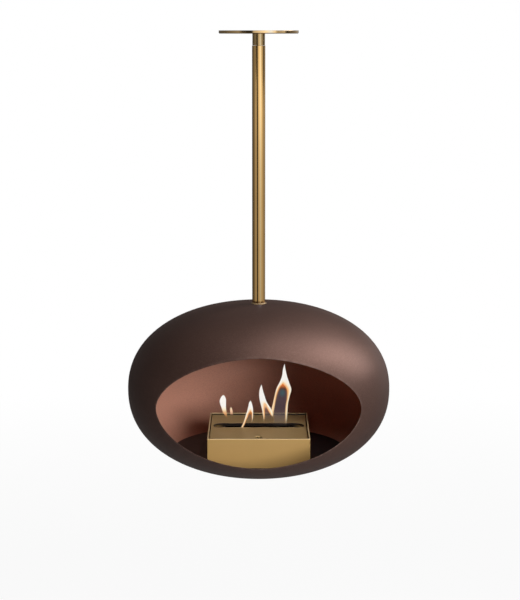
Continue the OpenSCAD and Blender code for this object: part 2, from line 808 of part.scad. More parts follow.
module rail_screws() {
    color("#5a5c60") rail_screw_places() translate([0, 0, deck_z])
        mirror([0, 0, 1]) sunk_screw(rail_screw_d, deck_t + rail_h / 2 - fixed_fit);
}

// Sliding plate that closes the tank: its slot lies over the tank while the fire burns
module damper_plate() {
    color("#b58f50") translate([0, 0, damper_z]) linear_extrude(height = damper_t) difference() {
        union() {
            translate([-damper_w / 2, damper_front_y]) square([damper_w, damper_back_y - damper_front_y]);
            translate([-tongue_w / 2, tool_hole_y]) square([tongue_w, damper_front_y - tool_hole_y + cut]);
        }
        translate([0, slot_y]) stadium(damper_slot_l, slot_w);
    }
}

// Loose cover with the flame slot and the tool hole
module cover_plate() {
    color("#b08a4c") translate([0, burner_y, cover_z]) linear_extrude(height = cover_t) difference() {
        rounded_rect(casing_inner_w - 2 * cover_gap, casing_inner_l - 2 * cover_gap, casing_edge_r);
        translate([0, slot_back]) stadium(slot_l, slot_w);
        translate([0, tool_hole_y - burner_y]) circle(d = tool_hole_d);
    }
}

ceiling_plate();
swivel_housing();
flange_screws();
lower_race();
ball_cage();
bearing_balls();
upper_race();
swivel_stud();
pole_tube();
pole_top_plug();
stud_lock_screw();
pole_bottom_plug();
foot_ring();
shell();
saddle_plate();
shell_washer();
shell_bolt();
floor_plate();
floor_brackets();
floor_screws();
locating_pins();
burner_casing();
burner_feet();
base_plate();
base_screws();
deck_posts();
post_screws();
deck_plate();
deck_screws();
fuel_tank();
wick_block();
damper_rails();
rail_screws();
damper_plate();
cover_plate();
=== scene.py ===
"""Looks of the hanging fireplace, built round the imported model.

Metres, +Z up; the fire opening faces -Y.
"""

import json
import math

import bmesh
import bpy
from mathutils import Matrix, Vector

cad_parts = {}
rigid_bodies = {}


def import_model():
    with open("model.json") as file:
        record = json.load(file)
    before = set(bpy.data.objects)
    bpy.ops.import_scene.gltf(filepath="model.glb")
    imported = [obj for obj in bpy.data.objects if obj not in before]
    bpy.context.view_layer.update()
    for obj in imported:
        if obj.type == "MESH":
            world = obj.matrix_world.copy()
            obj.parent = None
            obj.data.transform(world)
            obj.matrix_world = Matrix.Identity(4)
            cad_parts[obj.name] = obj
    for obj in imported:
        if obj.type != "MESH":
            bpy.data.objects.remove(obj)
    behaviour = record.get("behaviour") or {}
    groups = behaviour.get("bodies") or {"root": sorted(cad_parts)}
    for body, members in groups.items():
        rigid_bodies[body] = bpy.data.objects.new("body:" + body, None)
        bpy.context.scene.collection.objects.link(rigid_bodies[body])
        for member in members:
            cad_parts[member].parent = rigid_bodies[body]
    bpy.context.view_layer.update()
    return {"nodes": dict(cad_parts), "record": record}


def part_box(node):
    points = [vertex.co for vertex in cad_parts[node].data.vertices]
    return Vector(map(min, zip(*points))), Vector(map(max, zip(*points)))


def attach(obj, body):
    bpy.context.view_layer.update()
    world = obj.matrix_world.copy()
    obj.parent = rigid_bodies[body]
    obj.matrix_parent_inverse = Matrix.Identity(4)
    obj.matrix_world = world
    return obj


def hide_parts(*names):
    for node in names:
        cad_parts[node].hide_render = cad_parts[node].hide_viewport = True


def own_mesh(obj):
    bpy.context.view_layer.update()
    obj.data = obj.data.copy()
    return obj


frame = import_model()

# ---------------------------------------------------------------- node helpers

# Sockets of the Mix node when it mixes colours
MIX_FACTOR, MIX_FIRST, MIX_SECOND, MIX_RESULT = 0, 6, 7, 2


def new_material(name):
    """A material with its Principled shader, as (material, node tree, shader)."""
    mat = bpy.data.materials.new(name)
    mat.use_nodes = True
    nt = mat.node_tree
    return mat, nt, nt.nodes["Principled BSDF"]


def add(nt, kind, **values):
    """A node with its settings: the node's own, and its sockets by name."""
    node = nt.nodes.new("ShaderNode" + kind)
    for key, value in values.items():
        if hasattr(node, key):
            setattr(node, key, value)
        else:
            node.inputs[key.replace("_", " ")].default_value = value
    return node


def object_coords(nt, scale=(1, 1, 1)):
    """Object coordinates in metres, stretched by a scale."""
    tex = add(nt, "TexCoord")
    mapping = add(nt, "Mapping")
    mapping.inputs["Scale"].default_value = scale
    nt.links.new(tex.outputs["Object"], mapping.inputs["Vector"])
    return mapping.outputs["Vector"]


def noise_of(nt, vector, scale, detail=4.0, roughness=0.55):
    """Cloudy pattern between 0 and 1, with its features per metre."""
    tex = add(nt, "TexNoise")
    tex.inputs["Scale"].default_value = scale
    tex.inputs["Detail"].default_value = detail
    tex.inputs["Roughness"].default_value = roughness
    nt.links.new(vector, tex.inputs["Vector"])
    return tex.outputs["Fac"]


def ramp(nt, fac, stops):
    """A colour ramp through (place, grey or colour) stops."""
    node = add(nt, "ValToRGB")
    elements = node.color_ramp.elements
    for i, (place, value) in enumerate(stops):
        element = elements[i] if i < 2 else elements.new(place)
        element.position = place
        colour = (value, value, value) if isinstance(value, (int, float)) else value
        element.color = (*colour, 1)
    nt.links.new(fac, node.inputs["Fac"])
    return node.outputs["Color"]


def ranged(nt, value, low, high, from_low=0.0, from_high=1.0):
    """A value carried from one range to another, and held at its ends."""
    node = add(nt, "MapRange")
    node.inputs["From Min"].default_value = from_low
    node.inputs["From Max"].default_value = from_high
    node.inputs["To Min"].default_value = low
    node.inputs["To Max"].default_value = high
    nt.links.new(value, node.inputs["Value"])
    return node.outputs["Result"]


def mixed(nt, share, first, second):
    """Mix of two colours, each a socket or a plain colour, by the socket that holds the share."""
    node = add(nt, "Mix", data_type="RGBA")
    nt.links.new(share, node.inputs[MIX_FACTOR])
    for socket, value in ((MIX_FIRST, first), (MIX_SECOND, second)):
        if isinstance(value, bpy.types.NodeSocket):
            nt.links.new(value, node.inputs[socket])
        else:
            node.inputs[socket].default_value = (*value, 1)
    return node.outputs[MIX_RESULT]


def math_of(nt, operation, a, b=0.0):
    """Result of a sum, product or other operation on sockets or numbers."""
    node = add(nt, "Math", operation=operation)
    for i, value in enumerate((a, b)):
        if isinstance(value, bpy.types.NodeSocket):
            nt.links.new(value, node.inputs[i])
        else:
            node.inputs[i].default_value = value
    return node.outputs[0]


def bump(nt, shader, height, distance, strength=1.0):
    """Fine relief of a surface from a pattern, with its depth in metres."""
    node = add(nt, "Bump")
    node.inputs["Strength"].default_value = strength
    node.inputs["Distance"].default_value = distance
    nt.links.new(height, node.inputs["Height"])
    nt.links.new(node.outputs["Normal"], shader.inputs["Normal"])


# ---------------------------------------------------------------- materials

# The cover's slot, as the part's source has it, and the damper's below it
SLOT_Y, SLOT_R, SLOT_L = -0.0275, 0.0175, 0.206
DAMPER_SLOT_L = 0.164
# Band round the slot that holds a painted highlight in front and painted shade behind and at
# the ends: the share of it that is solid, and where it counts: across the slot in front of and
# behind its middle, and along it past the straight edges
SLOT_BAND, SOLID_BAND = 0.0042, 0.6
LIP_IN_FRONT, SHADE_BEHIND, SHADE_AT_ENDS = (-0.012, -0.004), (0.004, 0.010), (-0.004, 0.004)
# Tones of the painted shade in the gaps and the slot, of the painted shade round the slot, and of
# the painted highlight on its front lip
PAINTED_SHADE, SLOT_SHADE, LIP_HIGHLIGHT = (0.012, 0.009, 0.008), (0.03, 0.022, 0.014), (0.40, 0.29, 0.145)
# Scales of the procedural patterns, in features per metre
METAL_GRAIN, METAL_CLOUD = 900.0, 11.0
PAINT_FLAKES, PAINT_CLOUD, PAINT_SCUFFS, PAINT_PEEL = 900.0, 5.0, 60.0, 420.0
BLACK_GRIT, BLACK_DUST, RUBBER_GRAIN = 700.0, 22.0, 500.0
FIBRES, SCORCH, FLICKER = 180.0, 40.0, 240.0
FIBRE_STRETCH, FLICKER_STRETCH = (1, 3, 1), (1, 1, 0.3)
# Values of a pattern from which a tone begins and at which it is full
PATCH_RANGE, GRAIN_RANGE = (0.35, 0.7), (0.4, 0.7)
PAINT_PATCH_RANGE, FLAKE_RANGE, SCUFF_RANGE = (0.3, 0.7), (0.45, 1.0), (0.4, 0.65)
DUST_RANGE, FIBRE_RANGE, SCORCH_RANGE = (0.5, 0.8), (0.35, 0.65), (0.45, 0.7)
FLICKER_RANGE = (0.3, 0.6)
# How much of the darker tone metal shows at most, and how far its roughness varies
PATCH_SHARE, GRAIN_SHARE, SMEAR = 0.35, 0.25, 0.03
# How much of their tone the other patterns show at most, and the least and most of the lip's
# rubbed paint and painted highlight
FLAKE_SHARE, DUST_SHARE, SCORCH_SHARE, RUBBING_AND_HIGHLIGHT = 0.35, 0.5, 0.8, (0.05, 0.45)
PAINT_ROUGH, BLACK_ROUGH, RUBBER_ROUGH = (0.46, 0.51), (0.5, 0.7), (0.65, 0.85)
FIBRE_ROUGH, PAINT_SPECULAR = (0.85, 0.98), 0.25
# Paint of the shell: two tones of each side, the inside's being a lighter copy of the outside's
# paint as painted light; its flakes; and its lighter lip, part rubbed paint, part painted
# highlight
OUTSIDE_TONES = (0.086, 0.047, 0.037), (0.098, 0.054, 0.043)
INSIDE_LIT_TONES = (0.400, 0.190, 0.131), (0.440, 0.211, 0.147)
FLAKE, RUBBED_AND_HIGHLIGHT = (0.17, 0.100, 0.082), (0.26, 0.18, 0.15)
OUTSIDE_METALLIC, INSIDE_METALLIC = 0.8, 0.35
BLACK_TONES = (0.014, 0.010, 0.011), (0.025, 0.019, 0.018)
RUBBER_TONES = (0.012, 0.012, 0.012), (0.03, 0.03, 0.03)
FIBRE_TONES, SCORCHED = ((0.62, 0.58, 0.50), (0.84, 0.81, 0.74)), (0.10, 0.085, 0.07)


def box_mask(nt, low, high, soft):
    """1 inside a box of object coordinates in metres, 0 outside it, softened along each axis."""
    split = add(nt, "SeparateXYZ")
    nt.links.new(object_coords(nt), split.inputs[0])
    mask = None
    for socket, lo, hi, blur in zip(split.outputs, low, high, soft):
        off = math_of(nt, "ABSOLUTE", math_of(nt, "SUBTRACT", socket, (lo + hi) / 2))
        side = ranged(nt, off, 1.0, 0.0, (hi - lo) / 2 - blur, (hi - lo) / 2)
        mask = side if mask is None else math_of(nt, "MULTIPLY", mask, side)
    return mask


def slot_masks(nt):
    """Bands round the cover's slot: a painted highlight on the lip in front, and painted shade
    behind and at the ends.
    """
    split = add(nt, "SeparateXYZ")
    nt.links.new(object_coords(nt), split.inputs[0])
    off_middle = math_of(nt, "ABSOLUTE", split.outputs["X"])
    past_straight = math_of(nt, "SUBTRACT", off_middle, SLOT_L / 2 - SLOT_R)
    along = math_of(nt, "MAXIMUM", past_straight, 0.0)
    across = math_of(nt, "SUBTRACT", split.outputs["Y"], SLOT_Y)
    along_squared = math_of(nt, "MULTIPLY", along, along)
    across_squared = math_of(nt, "MULTIPLY", across, across)
    from_middle = math_of(nt, "SQRT", math_of(nt, "ADD", along_squared, across_squared))
    away = math_of(nt, "SUBTRACT", from_middle, SLOT_R)
    ring = ranged(nt, away, 1.0, 0.0, SOLID_BAND * SLOT_BAND, SLOT_BAND)
    in_front = ranged(nt, across, 1.0, 0.0, *LIP_IN_FRONT)
    behind = ranged(nt, across, 0.0, 1.0, *SHADE_BEHIND)
    at_ends = ranged(nt, past_straight, 0.0, 1.0, *SHADE_AT_ENDS)
    shaded = math_of(nt, "MAXIMUM", behind, at_ends)
    return math_of(nt, "MULTIPLY", ring, in_front), math_of(nt, "MULTIPLY", ring, shaded)


def brushed_metal(
    name, colour, dark, rough, stretch, metallic=1.0, relief=0.000004, zones=(), slotted=False
):
    """Metal with a fine grain along one axis, patches of tone and faint smears.

    Zones are boxes of another tone, here painted shade and a painted highlight, and a slotted
    piece has a painted highlight and painted shade round the slot.
    """
    mat, nt, shader = new_material(name)
    lines = noise_of(nt, object_coords(nt, stretch), METAL_GRAIN, roughness=0.6)
    cloud = noise_of(nt, object_coords(nt), METAL_CLOUD, detail=3.0)
    tone = mixed(nt, ranged(nt, cloud, 0.0, PATCH_SHARE, *PATCH_RANGE), colour, dark)
    tone = mixed(nt, ranged(nt, lines, 0.0, GRAIN_SHARE, *GRAIN_RANGE), tone, dark)
    if slotted:
        # a painted highlight on the slot's front lip, and painted shade behind it and at its ends
        front, shaded = slot_masks(nt)
        tone = mixed(nt, front, tone, LIP_HIGHLIGHT)
        tone = mixed(nt, shaded, tone, SLOT_SHADE)
    for other, low, high, soft in zones:
        tone = mixed(nt, box_mask(nt, low, high, soft), tone, other)
    nt.links.new(tone, shader.inputs["Base Color"])
    smears = [ranged(nt, pattern, -SMEAR, SMEAR) for pattern in (lines, cloud)]
    smear = math_of(nt, "ADD", *smears)
    nt.links.new(math_of(nt, "ADD", smear, rough), shader.inputs["Roughness"])
    shader.inputs["Metallic"].default_value = metallic
    bump(nt, shader, lines, relief)
    return mat


def shell_paint(name):
    """Metallic paint: flakes, orange peel, a painted-light inside, and a lip of rubbed paint and
    painted highlight.
    """
    mat, nt, shader = new_material(name)
    place = object_coords(nt)
    flakes = add(nt, "TexVoronoi", feature="F1")
    flakes.inputs["Scale"].default_value = PAINT_FLAKES
    nt.links.new(place, flakes.inputs["Vector"])
    spark = add(nt, "SeparateColor")
    nt.links.new(flakes.outputs["Color"], spark.inputs[0])
    cloud = noise_of(nt, place, PAINT_CLOUD, detail=3.0)
    patches = ranged(nt, cloud, 0.0, 1.0, *PAINT_PATCH_RANGE)
    inner = add(nt, "Attribute", attribute_name="inner").outputs["Fac"]
    # The inside takes the lighter tones: painted light, a lit copy of the outside's paint
    tone = mixed(nt, inner, mixed(nt, patches, *OUTSIDE_TONES), mixed(nt, patches, *INSIDE_LIT_TONES))
    spark_share = ranged(nt, spark.outputs[0], 0.0, FLAKE_SHARE, *FLAKE_RANGE)
    tone = mixed(nt, spark_share, tone, FLAKE)
    # The lip's lighter tone, patchy with the scuffs: part rubbed paint, part painted highlight
    edge = add(nt, "Attribute", attribute_name="edge_wear_and_highlight").outputs["Fac"]
    scuffs = noise_of(nt, place, PAINT_SCUFFS)
    wear_and_highlight = math_of(nt, "MULTIPLY", edge, ranged(nt, scuffs, *RUBBING_AND_HIGHLIGHT, *SCUFF_RANGE))
    tone = mixed(nt, wear_and_highlight, tone, RUBBED_AND_HIGHLIGHT)
    nt.links.new(tone, shader.inputs["Base Color"])
    metallic = ranged(nt, inner, OUTSIDE_METALLIC, INSIDE_METALLIC)
    nt.links.new(metallic, shader.inputs["Metallic"])
    shader.inputs["Specular IOR Level"].default_value = PAINT_SPECULAR
    roughness = ranged(nt, cloud, *PAINT_ROUGH, *PAINT_PATCH_RANGE)
    nt.links.new(roughness, shader.inputs["Roughness"])
    peel = noise_of(nt, place, PAINT_PEEL, detail=2.0)
    bump(nt, shader, peel, distance=0.00006, strength=0.6)
    return mat


def black_paint(name):
    """Heat-proof black with a fine grit and a little ash dust."""
    mat, nt, shader = new_material(name)
    place = object_coords(nt)
    grit = noise_of(nt, place, BLACK_GRIT, detail=3.0)
    dust = noise_of(nt, place, BLACK_DUST, detail=6.0, roughness=0.7)
    tone = mixed(nt, ranged(nt, dust, 0.0, DUST_SHARE, *DUST_RANGE), *BLACK_TONES)
    nt.links.new(tone, shader.inputs["Base Color"])
    nt.links.new(ranged(nt, dust, *BLACK_ROUGH), shader.inputs["Roughness"])
    bump(nt, shader, grit, distance=0.0001, strength=0.5)
    return mat


def rubber(name):
    """Dull black rubber with a fine grain."""
    mat, nt, shader = new_material(name)
    grain = noise_of(nt, object_coords(nt), RUBBER_GRAIN, detail=3.0)
    nt.links.new(mixed(nt, grain, *RUBBER_TONES), shader.inputs["Base Color"])
    nt.links.new(ranged(nt, grain, *RUBBER_ROUGH), shader.inputs["Roughness"])
    bump(nt, shader, grain, distance=0.0001, strength=0.6)
    return mat


def wick_fibre(name):
    """Ceramic fibre: matted strands with scorched patches."""
    mat, nt, shader = new_material(name)
    strands = object_coords(nt, FIBRE_STRETCH)
    fibres = noise_of(nt, strands, FIBRES, detail=8.0, roughness=0.75)
    scorch = noise_of(nt, object_coords(nt), SCORCH, detail=5.0)
    tone = mixed(nt, ranged(nt, fibres, 0.0, 1.0, *FIBRE_RANGE), *FIBRE_TONES)
    tone = mixed(nt, ranged(nt, scorch, 0.0, SCORCH_SHARE, *SCORCH_RANGE), tone, SCORCHED)
    nt.links.new(tone, shader.inputs["Base Color"])
    nt.links.new(ranged(nt, fibres, *FIBRE_ROUGH), shader.inputs["Roughness"])
    bump(nt, shader, fibres, distance=0.0008, strength=0.8)
    return mat


def flame_material(name):
    """Flame: its colour and how much it hides come from the mesh's own values."""
    mat, nt, shader = new_material(name)
    glow = add(nt, "Attribute", attribute_name="glow")
    hide = add(nt, "Attribute", attribute_name="hide")
    flicker = noise_of(nt, object_coords(nt, FLICKER_STRETCH), FLICKER, detail=3.0)
    nt.links.new(glow.outputs["Color"], shader.inputs["Emission Color"])
    shader.inputs["Emission Strength"].default_value = 1.0
    shader.inputs["Base Color"].default_value = (0, 0, 0, 1)
    shader.inputs["Roughness"].default_value = 1.0
    shader.inputs["Specular IOR Level"].default_value = 0.0
    uneven = ranged(nt, flicker, 0.9, 1.0, *FLICKER_RANGE)
    alpha = math_of(nt, "MULTIPLY", hide.outputs["Fac"], uneven)
    nt.links.new(alpha, shader.inputs["Alpha"])
    return mat


# Stretch of the grain: along X, along Z, and none
ALONG_X, ALONG_Z, EVENLY = (0.04, 1, 1), (1, 1, 0.02), (1, 1, 1)
POLISHED_RELIEF = 0.000001
cover_low, cover_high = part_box("cover_plate")
casing_low, casing_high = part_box("burner_casing")
damper_low, damper_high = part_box("damper_plate")

# Zones: a tone, its box's lowest and highest corner, and how far it softens along each axis
WELL_INSET, SLOT_ZONE_HALF, UNDER_SLOT_Z = 0.0024, 0.112, -0.98
# A painted highlight: the bright line on the casing's top edge
RIM_HIGHLIGHT = (
    (0.47, 0.342, 0.18),
    (casing_low.x - 0.01, casing_low.y - 0.01, casing_high.z - 0.0013),
    (casing_high.x + 0.01, casing_high.y + 0.01, casing_high.z + 0.001),
    (0.001, 0.001, 0.0004),
)
# Painted shade on the casing's inner walls, as seen in the gap round the cover
WELL = (
    PAINTED_SHADE,
    (casing_low.x + WELL_INSET, casing_low.y + WELL_INSET, cover_high.z - 0.0005),
    (casing_high.x - WELL_INSET, casing_high.y - WELL_INSET, casing_high.z - 0.0010),
    (0.0003, 0.0003, 0.0003),
)
# Painted shade on the slot's own walls in the cover, and a painted shadow along the cover's back
# edge
COVER_SLOT = (
    PAINTED_SHADE,
    (-SLOT_ZONE_HALF, SLOT_Y - 0.0181, cover_low.z - 0.001),
    (SLOT_ZONE_HALF, SLOT_Y + 0.0181, cover_high.z - 0.0002),
    (0.0002, 0.0002, 0.0002),
)
COVER_BACK = (
    PAINTED_SHADE,
    (cover_low.x - 0.001, cover_high.y - 0.0055, cover_low.z - 0.001),
    (cover_high.x + 0.001, cover_high.y + 0.001, cover_high.z + 0.001),
    (0.0002, 0.0015, 0.0002),
)
# Painted shade on what shows through the slot: the damper's opening, and the tank and deck under
# it
DAMPER_SLOT = (
    PAINTED_SHADE,
    (-DAMPER_SLOT_L / 2 - 0.016, SLOT_Y - 0.0185, damper_low.z - 0.001),
    (DAMPER_SLOT_L / 2 + 0.016, SLOT_Y + 0.032, damper_high.z + 0.001),
    (0.016, 0.0004, 0.0004),
)
UNDER_SLOT = (
    PAINTED_SHADE,
    (-SLOT_ZONE_HALF, SLOT_Y - 0.045, UNDER_SLOT_Z),
    (SLOT_ZONE_HALF, SLOT_Y + 0.045, damper_low.z),
    (0.001, 0.001, 0.001),
)
MATERIALS = {
    "plate_brass": brushed_metal(
        "plate_brass", (0.66, 0.45, 0.22), (0.56, 0.38, 0.18), 0.07, ALONG_X,
        relief=POLISHED_RELIEF,
    ),
    "pole_brass": brushed_metal(
        "pole_brass", (0.65, 0.40, 0.15), (0.57, 0.345, 0.125), 0.08, ALONG_Z,
        relief=POLISHED_RELIEF,
    ),
    "cage_brass": brushed_metal(
        "cage_brass", (0.58, 0.42, 0.18), (0.42, 0.30, 0.13), 0.35, EVENLY
    ),
    "burner_brass": brushed_metal(
        "burner_brass", (0.25, 0.156, 0.056), (0.222, 0.139, 0.049), 0.36, ALONG_X,
        metallic=0.3, zones=(RIM_HIGHLIGHT, WELL, DAMPER_SLOT),
    ),
    "cover_brass": brushed_metal(
        "cover_brass", (0.33, 0.224, 0.100), (0.295, 0.198, 0.088), 0.42, ALONG_X,
        metallic=0.3, zones=(COVER_SLOT, COVER_BACK), slotted=True,
    ),
    "shell_paint": shell_paint("shell_paint"),
    "black_paint": black_paint("black_paint"),
    "bright_steel": brushed_metal(
        "bright_steel", (0.55, 0.55, 0.56), (0.40, 0.40, 0.41), 0.32, ALONG_X,
        zones=(UNDER_SLOT,),
    ),
    "dark_steel": brushed_metal(
        "dark_steel", (0.10, 0.10, 0.105), (0.06, 0.06, 0.065), 0.40, EVENLY
    ),
    "bearing_steel": brushed_metal(
        "bearing_steel", (0.70, 0.70, 0.72), (0.60, 0.60, 0.62), 0.12, EVENLY
    ),
    "foot_rubber": rubber("foot_rubber"),
    "wick_fibre": wick_fibre("wick_fibre"),
}
# Nodes whose brass differs from the rest of their slot; the foot ring's darker, duller brass is
# painted shade
FINISH_AND_SHADE = {
    "swivel_housing": brushed_metal(
        "collar_brass", (0.43, 0.29, 0.13), (0.37, 0.25, 0.11), 0.11, ALONG_Z,
        relief=POLISHED_RELIEF,
    ),
    # Painted shade: a darker, duller copy of the pole's brass
    "foot_ring": brushed_metal(
        "ring_brass", (0.17, 0.115, 0.058), (0.14, 0.092, 0.045), 0.5, ALONG_X, metallic=0.4
    ),
}
FLAME = flame_material("flame")
SLOT_OF = {s["node"]: s["material_slot"] for s in frame["record"]["subparts"]}

for node, cad in frame["nodes"].items():
    cad.data.materials.clear()
    cad.data.materials.append(FINISH_AND_SHADE.get(node, MATERIALS[SLOT_OF[node]]))

# ---------------------------------------------------------------- mesh helpers

# Degrees between faces: below which they are joined, over which their edge is rounded off,
# and over which it is shaded as an edge
FLAT_ANGLE, SHARP_ANGLE, SHADE_ANGLE = 0.3, 28.0, 40
SAME_POINT = 1e-6


def link(name, mesh, slot_name, body):
    """A new piece that rides on a body, with its slot's material."""
    piece = bpy.data.objects.new(name, mesh)
    bpy.context.scene.collection.objects.link(piece)
    mesh.materials.clear()
    mesh.materials.append(MATERIALS.get(slot_name, FLAME))
    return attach(piece, body)


def body_of(node):
    bodies = frame["record"]["behaviour"]["bodies"]
    return next(body for body, names in bodies.items() if node in names)


def faces_outward(mesh):
    bm = bmesh.new()
    bm.from_mesh(mesh)
    bmesh.ops.recalc_face_normals(bm, faces=bm.faces)
    bm.to_mesh(mesh)
    bm.free()


def softened(node, radius, segments):
    """The node's own shape with its sharp edges rounded off."""
    bm = bmesh.new()
    bm.from_mesh(frame["nodes"][node].data)
    bmesh.ops.remove_doubles(bm, verts=bm.verts, dist=SAME_POINT)
    flat, sharp = math.radians(FLAT_ANGLE), math.radians(SHARP_ANGLE)
    bmesh.ops.dissolve_limit(bm, angle_limit=flat, verts=bm.verts, edges=bm.edges)
    crisp = [e for e in bm.edges if len(e.link_faces) == 2 and e.calc_face_angle(0) > sharp]
    bmesh.ops.bevel(
        bm,
        geom=crisp,
        offset=radius,
        segments=segments,
        profile=0.5,
        affect="EDGES",
        clamp_overlap=True,
    )
    mesh = bpy.data.meshes.new(node + "_soft")
    bm.to_mesh(mesh)
    bm.free()
    mesh.polygons.foreach_set("use_smooth", [True] * len(mesh.polygons))
    mesh.set_sharp_from_angle(angle=math.radians(SHADE_ANGLE))
    piece = link(node + "_soft", mesh, SLOT_OF[node], body_of(node))
    if node in FINISH_AND_SHADE:
        mesh.materials[0] = FINISH_AND_SHADE[node]
    even = piece.modifiers.new("even_normals", "WEIGHTED_NORMAL")
    even.keep_sharp = True
    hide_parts(node)


def ring_faces(rows, columns):
    """Quads between rows of points, each row closed to a ring."""
    faces = []
    for row in range(rows - 1):
        this, following = row * columns, (row + 1) * columns
        for column in range(columns):
            beside = (column + 1) % columns
            faces.append((this + column, this + beside, following + beside, following + column))
    return faces


# ---------------------------------------------------------------- shell

shell_low, shell_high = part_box("shell")
SHELL_R = (shell_high.x - shell_low.x) / 2
SHELL_H = (shell_high.z - shell_low.z) / 2
SHELL_Z = (shell_high.z + shell_low.z) / 2
# The shell's form and its opening, as the part's source has them
SHELL_T = 0.0025
SHELL_POWER = 2.2
MOUTH_W, MOUTH_H, MOUTH_POWER, MOUTH_DROP = 0.454, 0.248, 1.85, 0.0025
# Points round the opening, rows of points on each skin, and rows round the lip
SHELL_COLUMNS, SHELL_ROWS, LIP_ROWS = 288, 110, 6
# The rows lie closer together towards the lip, which is rounded by this share of the thickness
SHELL_SPREAD, LIP_ROUND = 1.15, 0.32
# Rows over which the lip's rubbed paint and painted highlight end, and over which the inside's
# paint begins
WEAR_AND_HIGHLIGHT_ROWS, INNER_ROWS = 1.5, 2


def shell_radius(h, inset):
    """Radius of the surface at a height over the shell's middle."""
    tall = (abs(h) / (SHELL_H - inset)) ** SHELL_POWER
    return (SHELL_R - inset) * (1 - tall) ** (1 / SHELL_POWER)


def shell_point(direction, inset):
    """Point of the surface in a direction from the shell's middle."""
    flat = math.hypot(direction.x, direction.y) / (SHELL_R - inset)
    tall = abs(direction.z) / (SHELL_H - inset)
    return direction / (flat**SHELL_POWER + tall**SHELL_POWER) ** (1 / SHELL_POWER)


def mouth_rim(angle, inset, shrink):
    """Point of the opening's edge on the surface at an inset; shrink makes the opening smaller."""
    c, s = math.cos(angle), math.sin(angle)
    k = (abs(c) ** MOUTH_POWER + abs(s) ** MOUTH_POWER) ** (-1 / MOUTH_POWER)
    x, z = (MOUTH_W / 2 - shrink) * c * k, (MOUTH_H / 2 - shrink) * s * k - MOUTH_DROP
    return Vector((x, -math.sqrt(shell_radius(z, inset) ** 2 - x * x), z))


def make_shell():
    """Both skins, run from the rounded edge of the opening to the middle of the back."""
    back = Vector((0, 1, 0))
    points, wear_and_highlight, inner = [], [], []
    total = 2 * SHELL_ROWS + LIP_ROWS - 1
    for row in range(total):
        on_lip = SHELL_ROWS <= row < SHELL_ROWS + LIP_ROWS - 1
        outer = row < SHELL_ROWS
        for column in range(SHELL_COLUMNS):
            angle = 2 * math.pi * column / SHELL_COLUMNS
            if on_lip:
                turn = math.pi * (row - SHELL_ROWS + 1) / LIP_ROWS
                inset = SHELL_T / 2 * (1 - math.cos(turn))
                grow = SHELL_T * LIP_ROUND * (1 - math.sin(turn))
                points.append(mouth_rim(angle, inset, -grow))
                wear_and_highlight.append(1.0)
                inner.append(0.0)
                continue
            inset = 0.0 if outer else SHELL_T
            step = SHELL_ROWS - 1 - row if outer else row - SHELL_ROWS - LIP_ROWS + 1
            start = mouth_rim(angle, inset, -SHELL_T * LIP_ROUND).normalized()
            share = (step / SHELL_ROWS) ** SHELL_SPREAD
            gap = start.angle(back)
            direction = math.sin((1 - share) * gap) * start + math.sin(share * gap) * back
            points.append(shell_point(direction / math.sin(gap), inset))
            wear_and_highlight.append(max(0.0, 1 - step / WEAR_AND_HIGHLIGHT_ROWS))
            inner.append(0.0 if outer else min(1.0, step / INNER_ROWS))
    faces = ring_faces(total, SHELL_COLUMNS)
    for first, inset in ((0, 0.0), ((total - 1) * SHELL_COLUMNS, SHELL_T)):
        middle = len(points)
        points.append(shell_point(back, inset))
        wear_and_highlight.append(0.0)
        inner.append(1.0 if inset else 0.0)
        for column in range(SHELL_COLUMNS):
            here, beside = first + column, first + (column + 1) % SHELL_COLUMNS
            faces.append((here, beside, middle) if inset else (beside, here, middle))
    mesh = bpy.data.meshes.new("shell_skin")
    mesh.from_pydata([(p.x, p.y, p.z + SHELL_Z) for p in points], [], faces)
    mesh.polygons.foreach_set("use_smooth", [True] * len(mesh.polygons))
    mesh.attributes.new("edge_wear_and_highlight", "FLOAT", "POINT").data.foreach_set("value", wear_and_highlight)
    mesh.attributes.new("inner", "FLOAT", "POINT").data.foreach_set("value", inner)
    faces_outward(mesh)
    piece = link("shell_skin", mesh, "shell_paint", "hanger")
    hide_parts("shell")


make_shell()

# ---------------------------------------------------------------- rounded metal pieces

# (node, radius of its rounded edges, segments round them)
SOFT_EDGES = (
    ("ceiling_plate", 0.0006, 3),
    ("swivel_housing", 0.0003, 2),
    ("pole_tube", 0.0004, 2),
    ("foot_ring", 0.0003, 2),
    ("floor_plate", 0.0004, 2),
    ("burner_casing", 0.0014, 4),
    ("cover_plate", 0.0005, 3),
    ("damper_plate", 0.0002, 2),
    ("fuel_tank", 0.0003, 2),
    ("floor_screws", 0.0001, 1),
)
# The matte paint round the pole's foot stays dark, as in the photograph
NOT_IN_PAINT = ("pole_tube", "foot_ring", "pole_bottom_plug")

for node, radius, segments in SOFT_EDGES:
    softened(node, radius, segments)
for node in NOT_IN_PAINT:
    for piece in [o for o in bpy.data.objects if o.name.startswith(node)]:
        piece.visible_glossy = piece.visible_diffuse = False

# ---------------------------------------------------------------- flames

BASE_Z = -0.905
# Screen colours, 0 to 255
WHITE, CREAM, PEACH = (247, 242, 236), (247, 225, 180), (244, 203, 158)
EMBER, VIOLET, TEAL = (92, 58, 46), (80, 66, 72), (66, 88, 94)
WARM_ROOT, RIM_GLOW, HEART_GLOW = (236, 168, 112), (238, 160, 92), (224, 138, 78)
# Columns of points across a rim and across the heart, and millimetres between rows, which lie
# closer together towards the tip
RIM_STEPS, HEART_STEPS, ROW_STEP, FLAME_SPREAD = 9, 12, 1.1, 1.15
# Millimetres: the least width, the width at which a flame has its full depth, and the outermost
# strip that fades
LEAST_WIDTH, FULL_DEPTH_WIDTH, EDGE_FADE = 0.3, 26, 0.7
# Millimetres over the heart in which the rims join, and under it in which they grow warm
RIMS_JOIN, RIMS_WARM = 9, 30
